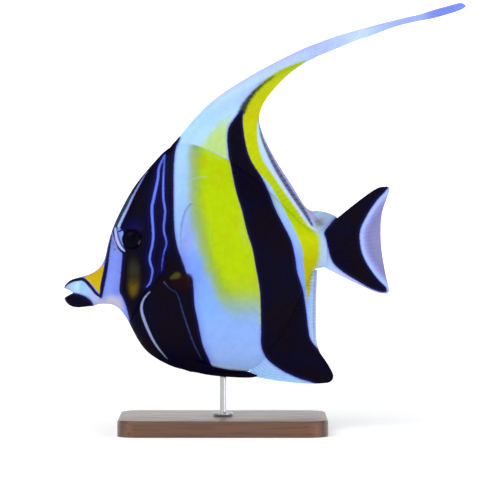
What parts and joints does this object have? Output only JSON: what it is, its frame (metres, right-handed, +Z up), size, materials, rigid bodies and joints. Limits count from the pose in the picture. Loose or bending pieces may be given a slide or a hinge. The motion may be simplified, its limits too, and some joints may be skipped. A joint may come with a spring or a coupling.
{
  "type": "moorish idol fish",
  "caption": "Life-size moorish idol, a deep thin reef fish with black bands, yellow patches and a long dorsal streamer, held over a flat base by a rod.",
  "frame": {"origin": "on the table, under the middle of the model's box", "axes": "+Z up, -X towards the snout, -Y towards the fish's left side"},
  "size_m": [0.2012, 0.072, 0.2145],
  "materials": {
    "lips": "satin wet skin",
    "skin_dark": "satin wet skin",
    "skin_yellow": "satin wet skin with fine scales",
    "fin_pale": "thin translucent membrane between rays",
    "fin_dark": "thin membrane between rays",
    "horn": "satin",
    "eye": "wet gloss",
    "base": "satin varnish",
    "rod": "fine brushed"
  },
  "bodies": {
    "root": {"upper_jaw": "lips", "lower_jaw": "skin_dark", "head": "skin_dark", "gill_cover_left": "skin_dark", "gill_cover_right": "skin_dark", "trunk": "skin_yellow", "tail_stalk": "skin_yellow", "horn_left": "horn", "horn_right": "horn", "eye_left": "eye", "eye_right": "eye", "dorsal_fin": "fin_pale", "dorsal_streamer_root": "fin_pale", "dorsal_streamer_middle": "fin_pale", "dorsal_streamer_tip": "fin_pale", "anal_fin": "fin_dark", "caudal_fin": "fin_dark", "pectoral_fin_left": "fin_pale", "pectoral_fin_right": "fin_pale", "pelvic_fin_left": "fin_dark", "pelvic_fin_right": "fin_dark", "stand_base": "base", "stand_rod": "rod"}
  },
  "joints": []
}
